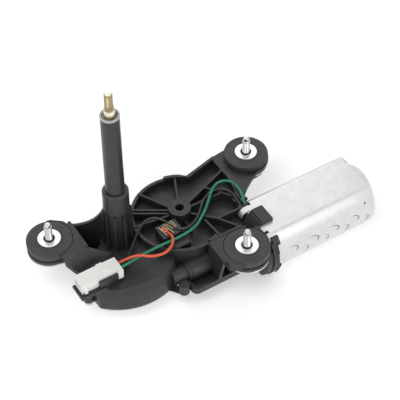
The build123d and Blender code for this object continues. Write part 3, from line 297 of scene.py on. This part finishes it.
# ---------------------------------------------------------------- making shapes, in millimetres
def piece(name, corners, faces, body, slot, stands_for=(), finish=None):
    """A new visible piece, or with no body a solid that is only for cutting."""
    mesh = bpy.data.meshes.new(name)
    mesh.from_pydata([tuple(mm * c for c in corner) for corner in corners], [], faces)
    obj = bpy.data.objects.new(name, mesh)
    scene.collection.objects.link(obj)
    finish_mesh(obj)
    if body:
        mesh.materials.append(materials[finish or slot])
        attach(obj, body)
    if stands_for:
        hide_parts(*stands_for)
    return obj


def finish_mesh(obj, sharp_from=32):
    """Outward faces, smooth but for the edges that bend by more than some degrees."""
    work = bmesh.new()
    work.from_mesh(obj.data)
    bmesh.ops.recalc_face_normals(work, faces=work.faces)
    work.to_mesh(obj.data)
    work.free()
    obj.data.polygons.foreach_set("use_smooth", [True] * len(obj.data.polygons))
    obj.data.set_sharp_from_angle(angle=math.radians(sharp_from))


def cut(obj, *cutters, sharp_from=32):
    """Take the cutters' volumes out of a piece."""
    for cutter in cutters:
        modifier = obj.modifiers.new("cut", "BOOLEAN")
        modifier.operation, modifier.solver, modifier.object = "DIFFERENCE", "MANIFOLD", cutter
        bpy.context.view_layer.update()
        shaped = obj.evaluated_get(bpy.context.evaluated_depsgraph_get())
        mesh = bpy.data.meshes.new_from_object(shaped)
        obj.modifiers.clear()
        obj.data = mesh
        bpy.data.objects.remove(cutter)
        bpy.context.view_layer.update()
    finish_mesh(obj, sharp_from)


def loft(rings, closed=False):
    """Corners and faces of a skin over rings of equal length; a ring of one corner is a tip.

    Two tips in a row part two skins, and nothing is laid between them.
    """
    corners, starts, faces = [], [], []
    for ring in rings:
        starts.append(len(corners))
        corners += ring
    pairs = list(zip(range(len(rings) - 1), range(1, len(rings))))
    if closed:
        pairs.append((len(rings) - 1, 0))
    for a, b in pairs:
        count = max(len(rings[a]), len(rings[b]))
        if count == 1:
            continue
        for i in range(count):
            j = (i + 1) % count
            low = [starts[a] + i, starts[a] + j] if len(rings[a]) > 1 else [starts[a]]
            high = [starts[b] + j, starts[b] + i] if len(rings[b]) > 1 else [starts[b]]
            faces.append(low + high)
    return corners, faces


def capped(rings):
    """A loft whose first and last rings are closed by a face each."""
    corners, faces = loft(rings)
    count = len(rings[0])
    faces += [tuple(range(count)), tuple(len(corners) - 1 - i for i in range(count))]
    return corners, faces


def prism(outline, low, high, upright=True):
    """A cutter over an outline in plan, or along Y over an outline seen from the front."""
    if upright:
        rings = [[(x, y, end) for x, y in outline] for end in (low, high)]
    else:
        rings = [[(x, end, z) for x, z in outline] for end in (low, high)]
    return piece("cutter", *capped(rings), None, None)


def block(x0, x1, y0, y1, z0, z1):
    """A plain box, only for cutting."""
    return prism([(x0, y0), (x1, y0), (x1, y1), (x0, y1)], z0, z1)


def circle_angles(count):
    return [full_turn * i / count for i in range(count)]


def turned(profile, centre=(0, 0), around=72, closed=False, shape=None):
    """A turned form on an upright axis, from (radius, height) pairs."""
    rings = []
    for radius, z in profile:
        if radius == 0:
            rings.append([(centre[0], centre[1], z)])
            continue
        ring = []
        for angle in circle_angles(around):
            r = shape(radius, z, angle) if shape else radius
            ring.append((centre[0] + r * math.cos(angle), centre[1] + r * math.sin(angle), z))
        rings.append(ring)
    return loft(rings, closed)


def rounded(r0, z0, r1, z1, corner_r, corner_z, count=5):
    """Profile points of a quarter round from (r0, z0) to (r1, z1) about its centre."""
    start = math.atan2(z0 - corner_z, r0 - corner_r)
    end = math.atan2(z1 - corner_z, r1 - corner_r)
    radius = math.hypot(r0 - corner_r, z0 - corner_z)
    angles = [start + (end - start) * i / count for i in range(count + 1)]
    return [(corner_r + radius * math.cos(a), corner_z + radius * math.sin(a)) for a in angles]


def steps(start, end, size):
    """Even steps of about a size between two values, both included."""
    count = max(2, round(abs(end - start) / size))
    return [start + (end - start) * i / count for i in range(count + 1)]


def thread_shape(low, high, pitch=1.0, depth=0.45, fade=0.7):
    """Radius of a screw thread between two heights, running out over fade at both ends."""
    def shape(radius, z, angle):
        if not low < z < high:
            return radius
        turn = (z / pitch - angle / full_turn) % 1.0
        groove = min(1.0, max(0.0, (1 - abs(2 * turn - 1)) * 1.25 - 0.1))
        return radius - depth * groove * min(1.0, (z - low) / fade, (high - z) / fade)
    return shape


def neighbours(path, i):
    return path[max(i - 1, 0)], path[min(i + 1, len(path) - 1)]


# ---------------------------------------------------------------- mounts
mounts = {"left": (-48.0, 19.5), "rear": (125.5, 16.5), "front": (73.5, -64.0)}
thread_r, thread_step = 3.0, 0.125                # M6, on the studs and the spindle
stud_thread = (0.2, 12.2)
stud_profile = [
    (0, -13.5), (17.1, -13.5), (17.3, -13.3), (17.3, -12.2), (17.1, -12.0),         # plate
    (2.75, -12.0), (2.75, -0.6), (thread_r, -0.3),                                  # shank
    *((thread_r, z) for z in steps(0.0, stud_thread[1], thread_step)),
    (2.75, 12.6), (2.3, 12.75), (2.3, 14.9), (2.2, 15.25), (1.95, 15.5), (1.6, 15.6),
    (0.65, 15.6), (0.45, 15.3), (0, 15.1),                                          # pilot tip
]
sleeve_profile = [
    (4.3, -12), (5.3, -12), (5.3, -1.0),                                            # barrel
    (8.6, -1.0), (8.8, -0.8), (8.8, -0.25), (8.7, -0.06), (8.5, 0.0),               # flange
    (4.6, 0.0), (4.38, -0.1), (4.3, -0.3),
]
grommet_profile = [
    (5.32, -12), *rounded(16.7, -12, 17.5, -11.2, 16.7, -11.2),
    *rounded(17.5, -9.4, 17.1, -9.0, 17.1, -9.4, 2), (11.8, -9.0), (11.8, -6.0),    # groove
    *rounded(17.1, -6.0, 17.5, -5.6, 17.1, -5.6, 2),
    *rounded(17.5, -1.7, 16.8, -1.0, 16.8, -1.7),
    (10.3, -1.0), (10.1, -1.25), (9.6, -1.25), (9.4, -1.02), (5.32, -1.02),         # fine ring
]


def add_mounts():
    for side, centre in mounts.items():
        stud = turned(stud_profile, centre, 48, shape=thread_shape(*stud_thread))
        sleeve = turned(sleeve_profile, centre, 72, closed=True)
        grommet = turned(grommet_profile, centre, 96, closed=True)
        piece("stud_threaded_" + side, *stud, "housing", "stud_zinc", ["stud_" + side])
        piece("sleeve_flanged_" + side, *sleeve, "housing", "sleeve_zinc", ["sleeve_" + side])
        piece("grommet_turned_" + side, *grommet, "housing", "grommet_rubber",
              ["grommet_" + side])


# ---------------------------------------------------------------- spindle and its tube's top
spindle_foot, spindle_tip, spindle_r = -26.3, 140.2, 4.0
spline_low, spline_high, spline_length = 123.6, 128.6, 5.0
spline_count, spline_depth, spline_r, spline_taper = 24, 0.22, 3.72, 0.62
clip_groove = (-24.9, -24.2, 3.2)                  # low, high, radius
spindle_profile = [
    (0, spindle_foot), (3.5, spindle_foot), (spindle_r, spindle_foot + 0.5),
    (spindle_r, clip_groove[0]), (clip_groove[2], clip_groove[0]),
    (clip_groove[2], clip_groove[1]), (spindle_r, clip_groove[1]),
    (spindle_r, 60), (spindle_r, 119), (spindle_r, 122.9), (3.9, 123.3), (3.75, 123.5),
    *((spline_r - spline_taper * (z - spline_low) / spline_length, z)
      for z in steps(spline_low, spline_high, 0.25)),
    *((thread_r, z) for z in steps(spline_high + 0.2, spindle_tip - 1.0, thread_step)),
    (2.7, spindle_tip - 0.6), (2.35, spindle_tip - 0.15), (2.1, spindle_tip),
    (0.8, spindle_tip), (0.55, spindle_tip - 0.4), (0, spindle_tip - 0.7),
]
seal_profile = [
    (5.75, 118.4), (7.1, 118.4), *rounded(7.1, 119.3, 6.6, 119.8, 6.6, 119.3, 4),
    (6.15, 119.8), (5.85, 119.65), (5.75, 119.35),
]
# a thin ring laid in the groove inside the seal lip, coloured as painted shade
seal_groove_shade_profile = [
    (4.3, 118.41), (5.72, 118.41), (5.72, 118.9), (5.5, 119.05), (4.5, 118.95), (4.3, 118.75),
]


def spindle_shape(radius, z, angle):
    """Splines on the cone, a thread above them."""
    if spline_low + 0.1 < z < spline_high - 0.1:
        return radius - spline_depth * max(0.0, math.sin(spline_count * angle))
    return thread_shape(spline_high + 0.5, spindle_tip - 1.0)(radius, z, angle)


def add_spindle():
    piece("spindle_splined", *turned(spindle_profile, around=144, shape=spindle_shape),
          "output", "yellow_zinc", ["output_spindle"])
    # the ring's dark olive finish is painted shade in the seal's groove
    piece("seal_groove_shade_ring", *turned(seal_groove_shade_profile, closed=True), "housing", "grommet_rubber",
          finish="dust_felt")
    piece("seal_lip", *turned(seal_profile, around=96, closed=True), "housing",
          "seal_plastic", ["tube_seal"])


# ---------------------------------------------------------------- motor can
motor_y, motor_z = -43.5, -26.0                    # the motor's axis
can_r, can_flat, can_wall = 27.8, 21.2, 1.5        # half sizes over the round sides and the flats
can_mouth, can_end, end_bend = 93.6, 190.5, 1.8
dome_r, dome_end, dome_bend, boss_r = 19.2, 195.5, 2, 9.4
can_top = motor_z + can_flat
bore_r, bore_flat = can_r - can_wall, can_flat - can_wall
no_flat = 100                                      # so far out that a ring stays round


def can_reach(radius, flat, angle):
    """Distance of the can's outline from its axis, with a small bend at each flat."""
    level = flat / max(abs(math.sin(angle)), 1e-6)
    sharp = 70
    return (radius ** -sharp + level ** -sharp) ** (-1 / sharp)


def can_angles():
    """Even angles, and closer ones at the four bends."""
    bend = math.asin(can_flat / can_r)
    angles = circle_angles(120)
    for corner in (bend, math.pi - bend, math.pi + bend, full_turn - bend):
        angles += [corner + math.radians(d) for d in (-2.2, -1.4, -0.7, 0, 0.7, 1.4, 2.2)]
    return sorted(angles)


def can_ring(x, radius, flat=no_flat):
    """One section across the can, round but for its two flats."""
    ring = []
    for angle in can_angles():
        reach = can_reach(radius, flat, angle)
        ring.append((x, motor_y + reach * math.cos(angle), motor_z + reach * math.sin(angle)))
    return ring


def can_outside():
    """From the mouth over the bent edge and the dome to the boss."""
    rings = [can_ring(x, can_r, can_flat) for x in (can_mouth, 110, 140, 170, can_end - end_bend)]
    for i in range(1, 6):
        a = math.radians(18 * i)
        inset = end_bend * (1 - math.cos(a))
        x = can_end - end_bend + end_bend * math.sin(a)
        rings.append(can_ring(x, can_r - inset, can_flat - inset))
    rings += [can_ring(can_end + 0.02, dome_r + 0.15), can_ring(can_end + 0.35, dome_r)]
    for i in range(6):
        a = math.radians(18 * i)
        x = dome_end - dome_bend + dome_bend * math.sin(a)
        rings.append(can_ring(x, dome_r - dome_bend * (1 - math.cos(a))))
    groove = [(dome_end, 16.4), (dome_end - 0.5, 15.7), (dome_end - 0.5, 10.2)]
    rings += [can_ring(x, r) for x, r in groove + [(dome_end, boss_r), (dome_end, 5.0)]]
    return rings + [[(dome_end, motor_y, motor_z)]]


def can_inside():
    """From the rear bearing's seat in the boss through the dome to the mouth."""
    seat = [(194.0, 8.0), (188.0, 8.0), (188.0, 9.4), (193.5, 9.4), (193.5, 17.0), (192.8, 17.7),
            (189.0, 17.7)]
    rings = [[(seat[0][0], motor_y, motor_z)]] + [can_ring(x, r) for x, r in seat]
    return rings + [can_ring(189.0, bore_r - 1, bore_flat - 1),
                    can_ring(188.0, bore_r, bore_flat), can_ring(can_mouth, bore_r, bore_flat)]


def add_can():
    outside = can_outside()
    corners, faces = loft(outside + can_inside())
    ring, last = len(outside[0]), len(corners) - len(outside[0])
    faces += [(i, (i + 1) % ring, last + (i + 1) % ring, last + i) for i in range(ring)]
    can = piece("can_drawn", corners, faces, "housing", "can_zinc", ["motor_can"])
    step = block(can_end - 2.8, can_end + 1, motor_y + 7.5, motor_y + 12.5, can_top - 1, 0)
    wire_notch = block(92.6, 100.4, -29.0, -19.5, -14.0, -3.0)
    mouth_rear = block(92, 96.5, -34.3, -24.5, -11.5, -3)
    mouth_front = block(92, 96.5, -60.0, -51.9, -11.5, -3)
    cut(can, step, wire_notch, vent_cutter(), mouth_rear, mouth_front)
    give_material(can, "can_zinc")


def vent_cutter():
    """The small round hole near the can's end, as a cutter along Y."""
    x, z, radius = 180.7, -13.8, 0.9
    outline = [(x + radius * math.cos(a), z + radius * math.sin(a)) for a in circle_angles(20)]
    return prism(outline, motor_y - 30, motor_y - 15, upright=False)


# ---------------------------------------------------------------- crescents in the can's side
crescent_step = 19.15
crescents = {                                      # first one's place along X, lip radius, shape
    "large": (107.5, 0.42, [(0, 12.4), (3.2, 13.1), (6.3, 11.5), (8.8, 7.6), (9.0, 4.1),
                            (7.0, -0.2)]),
    "small": (122.1, 0.34, [(0, 2.4), (1.7, 1.7), (3.3, -0.6), (4.4, -4.4), (3.7, -8.2),
                            (1.5, -11.2)]),
}                                                  # the shape is mm along X and degrees upwards


def can_side(x, angle, lift=0.0):
    """A point on the can's round side, the angle in degrees from the front, upwards."""
    a = math.radians(180 - angle)
    return (x, motor_y + (can_r + lift) * math.cos(a), motor_z + (can_r + lift) * math.sin(a))


def between(p, q, r, w, t):
    """A value a share t of the way from q to r, on a smooth line through all four."""
    return 0.5 * (2 * q + (r - p) * t + (2 * p - 5 * q + 4 * r - w) * t * t
                  + (3 * q - p - 3 * r + w) * t ** 3)


def smooth_path(points, each=4):
    """Points on a smooth line through the given ones."""
    out = []
    for i in range(len(points) - 1):
        near = [points[max(0, min(k, len(points) - 1))] for k in range(i - 1, i + 3)]
        for step in range(each):
            out.append(tuple(between(*values, step / each) for values in zip(*near)))
    return out + [points[-1]]


def add_can_marks():
    """Pressed crescents in two sizes along the can's side, each a thin raised lip painted dark as
    the shade of its cut.
    """
    for index in range(4):
        for size, (start, radius, marks) in crescents.items():
            path = [(start + crescent_step * index + x, angle) for x, angle in marks]
            add_lip(f"can_lip_{size}_{index + 1}", path, radius)


def add_lip(name, points, radius):
    """A thin bar along a path on the can's side, thinner at its ends."""
    per_mm = 180 / (math.pi * can_r)
    path = smooth_path(points)
    rings = [[can_side(*path[0])]]
    for i, (px, pa) in enumerate(path):
        before, after = neighbours(path, i)
        run_x, run_up = after[0] - before[0], (after[1] - before[1]) / per_mm
        run = math.hypot(run_x, run_up)
        size = radius * min(1.0, (i + 0.6) / 12, (len(path) - 0.4 - i) / 4)
        ring = []
        for turn in circle_angles(8):
            out = size * math.cos(turn)
            ring.append(can_side(px - out * run_up / run, pa + out * run_x / run * per_mm,
                                 size * math.sin(turn)))
        rings.append(ring)
    rings.append([can_side(*path[-1])])
    # the lip's dark finish is painted shade along the pressed cut
    piece(name, *loft(rings), "housing", "can_zinc", finish="zinc_edge")


# ---------------------------------------------------------------- lugs, clips and spigot
lug_thickness = 1.1
lug_bend = [(98.5, 0.03), (96.0, 0.03), (94.2, -0.2), (92.6, -0.9), (91.4, -2.0), (90.6, -3.6),
            (90.2, -5.6)]                          # X, and height over the can's flat
lugs = {"rear": (-33.6, -28.6, -1.4), "front": (-57.2, -52.2, 0.8)}     # sides, shift along X
clip_angles, clip_height = (143, 200, 340), 2.6
clip_profile = [(94.7, 0.1), (100.6, 0.1), (101.0, 0.5), (101.0, 1.5), (99.8, clip_height),
                (94.7, clip_height)]               # X, and height over the can's side
clip_sections = ((-3.75, 0.35), (-3.4, 0.0), (3.4, 0.0), (3.75, 0.35))  # place across, inset


def add_can_lugs():
    """Two lugs of the can's mouth, bent down over the housing beside the tab."""
    for side, (y0, y1, shift) in lugs.items():
        path = [lug_bend[0]] + [(x + shift, z) for x, z in lug_bend[1:]]
        rings = []
        for i, (x, z) in enumerate(path):
            before, after = neighbours(path, i)
            run = math.hypot(after[0] - before[0], after[1] - before[1])
            nx, nz = (after[1] - before[1]) / run, -(after[0] - before[0]) / run
            top = can_top + z
            under_x, under_z = x - lug_thickness * nx, top - lug_thickness * nz
            rings.append([(x, y0, top), (x, y1, top),
                          (under_x, y1, under_z), (under_x, y0, under_z)])
        piece("can_lug_" + side, *capped(rings), "housing", "can_zinc")


def add_collar_clips():
    """Three clips of the collar over the can's round sides."""
    for index, degrees in enumerate(clip_angles):
        angle = math.radians(degrees)
        out_y, out_z = math.cos(angle), math.sin(angle)
        rings = []
        for across, inset in clip_sections:
            ring = []
            for x, lift in clip_profile:
                r = can_r + min(lift, clip_height - inset)
                ring.append((x - (inset if x > 99 else 0), motor_y + r * out_y - across * out_z,
                             motor_z + r * out_z + across * out_y))
            rings.append(ring)
        piece(f"collar_clip_{index + 1}", *capped(rings), "housing", "housing_plastic")


def add_spigot():
    """The housing's dark spigot inside the can's mouth."""
    gap, wall = 0.15, 1
    skin = [(92.4, gap), (99.0, gap), (99.0, gap + wall), (92.4, gap + wall)]
    spigot = [can_ring(x, bore_r - inset, bore_flat - inset) for x, inset in skin]
    piece("mouth_spigot", *loft(spigot, closed=True), "housing", "housing_plastic")


# ---------------------------------------------------------------- gear housing, trimmed
wheel_centre, dish_r, barrel_r = (50.5, -5.5), 38.0, 8.9
collar_end = 97.7
housing_sharp_from = 22                            # degrees


def housing_copy():
    """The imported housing's mesh, welded, as a new object."""
    source = nodes["gear_housing"].data
    mesh = bpy.data.meshes.new("housing_moulded")
    corners = [tuple(v.co) for v in source.vertices]
    mesh.from_pydata(corners, [], [tuple(p.vertices) for p in source.polygons])
    work = bmesh.new()
    work.from_mesh(mesh)
    bmesh.ops.remove_doubles(work, verts=work.verts, dist=2e-6)
    bmesh.ops.dissolve_degenerate(work, dist=1e-7, edges=work.edges)
    work.to_mesh(mesh)
    work.free()
    mesh.validate()
    housing = bpy.data.objects.new("housing_moulded", mesh)
    scene.collection.objects.link(housing)
    return housing


def rim_cutter():
    """What stands out from the dish's round rim where the rear arm starts."""
    x, y = wheel_centre
    arc = [math.radians(57 + 2 * i) for i in range(13)]
    outline = [(x + dish_r * math.cos(a), y + dish_r * math.sin(a)) for a in arc]
    outline += [(x + 44 * math.cos(a), y + 44 * math.sin(a)) for a in reversed(arc)]
    return prism(outline, -15.85, -4.5)


def drum_cutter(x0, x1, radius):
    """A plain round bar on the motor's axis, only for cutting."""
    rings = [[(x0, motor_y, motor_z)]]
    for x in (x0, x1):
        rings.append([(x, motor_y + radius * math.cos(a), motor_z + radius * math.sin(a))
                      for a in circle_angles(72)])
    rings.append([(x1, motor_y, motor_z)])
    return piece("cutter", *loft(rings), None, None)


def barrel_wall_cutters():
    """The wall beside the worm barrel, which stands under the gusset alone."""
    beside = block(45.9, 50.5, -58.9, motor_y, -33, -19.9)
    cut(beside, drum_cutter(45, 52, barrel_r + 0.02))
    return [beside, block(45.9, 50.5, -61.1, -58.9, -28.95, -19.9)]


def shoulder_cutter():
    """What lies outside the swing chamber's sloped shoulder, fading out at both ends."""
    first, last, fade_over = -120, -70, 14         # degrees about the spindle
    wall_r, outer_r, top_r, set_back = 49.65, 50.2, 47.35, 2.0
    foot, top = -20.8, -12.8
    rings = []
    for degrees in range(first, last + 1, 2):
        fade = min(1.0, (degrees - first) / fade_over, (last - degrees) / fade_over)
        a = math.radians(degrees)
        section = [(wall_r, foot), (outer_r, foot), (outer_r, top), (top_r - set_back * fade, top)]
        rings.append([(r * math.cos(a), r * math.sin(a), z) for r, z in section])
    return piece("cutter", *capped(rings), None, None)


def add_housing():
    """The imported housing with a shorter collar, a ramped tab and room for the can's lugs."""
    housing = housing_copy()
    collar = [block(collar_end, 108, -80, -19.2, -52, -8.7),
              block(collar_end, 108, -19.2, -10, -52, -16.2)]
    tab_ramp = prism([(83, -1), (94.6, -1), (94.6, -2.9), (86.5, -14.2), (83, -14.2)], -52, -35,
                     upright=False)
    lug_rooms = [block(88.3, 99, -33.9, -28.3, -11.6, -3.5),
                 block(90.5, 99, -58.7, -51.9, -11.6, -3.5)]
    cut(housing, *collar, rim_cutter(), *barrel_wall_cutters(), tab_ramp, *lug_rooms,
        shoulder_cutter(), sharp_from=housing_sharp_from)
    give_material(housing, "housing_plastic")
    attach(housing, "housing")
    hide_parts("gear_housing")


# ---------------------------------------------------------------- studio
studio_aim = (0.06, -0.02, 0)
lamps = {                                          # place, size in metres, power in watts
    "key": ((-0.5, -0.2, 1.1), 0.7, 5),
    "back": ((0.5, 0.9, 0.8), 0.8, 1.5),
    "front": ((0.3, -1.1, 0.5), 0.6, 2.5),
}
world_light = 0.42


def add_lamp(name, place, size, power):
    data = bpy.data.lights.new(name, "AREA")
    data.shape, data.size, data.energy = "SQUARE", size, power
    lamp = bpy.data.objects.new(name, data)
    lamp.location = place
    lamp.rotation_euler = (Vector(studio_aim) - Vector(place)).to_track_quat("-Z", "Y").to_euler()
    scene.collection.objects.link(lamp)


def add_world():
    """White where the camera or a reflection sees it, and a weaker light on the object."""
    world = bpy.data.worlds.new("studio")
    scene.world = world
    world.use_nodes = True
    tree = world.node_tree
    tree.nodes.clear()
    output = tree.nodes.new("ShaderNodeOutputWorld")
    paths = tree.nodes.new("ShaderNodeLightPath")
    backgrounds = []
    for colour, strength in (((0.96, 0.98, 1, 1), world_light), ((1, 1, 1, 1), 1.0)):
        node = tree.nodes.new("ShaderNodeBackground")
        node.inputs["Color"].default_value = colour
        node.inputs["Strength"].default_value = strength
        backgrounds.append(node.outputs[0])
    seen_by = paths.outputs["Is Camera Ray"]
    for kind in ("Is Glossy Ray", "Is Transmission Ray"):
        either = tree.nodes.new("ShaderNodeMath")
        either.operation = "MAXIMUM"
        tree.links.new(seen_by, either.inputs[0])
        tree.links.new(paths.outputs[kind], either.inputs[1])
        seen_by = either.outputs[0]
    mix = tree.nodes.new("ShaderNodeMixShader")
    tree.links.new(seen_by, mix.inputs["Fac"])
    for socket, background in zip((mix.inputs[1], mix.inputs[2]), backgrounds):
        tree.links.new(background, socket)
    tree.links.new(mix.outputs[0], output.inputs["Surface"])


def add_studio():
    scene.view_settings.view_transform = "Standard"
    add_world()
    for name, values in lamps.items():
        add_lamp(name, *values)


def add_floor():
    gap = 0.0002                                   # under the lowest point
    low = cad_box[0][2]
    bpy.ops.mesh.primitive_plane_add(size=6, location=(0, 0, low - gap))
    floor = bpy.context.object
    floor.name = "floor"
    m = Nodes("floor_paper")
    m.colour(m.mix(m.noise(3, 2), (0.97, 0.97, 0.97), (0.99, 0.99, 0.99)))
    m.set(Roughness=0.9, Emission_Color=(1, 1, 1, 1), Emission_Strength=0.35)
    floor.data.materials.append(m.material)


add_camera()
assign_materials()
add_mounts()
add_spindle()
add_can()
add_can_marks()
add_can_lugs()
add_collar_clips()
add_spigot()
add_housing()
add_studio()
add_floor()
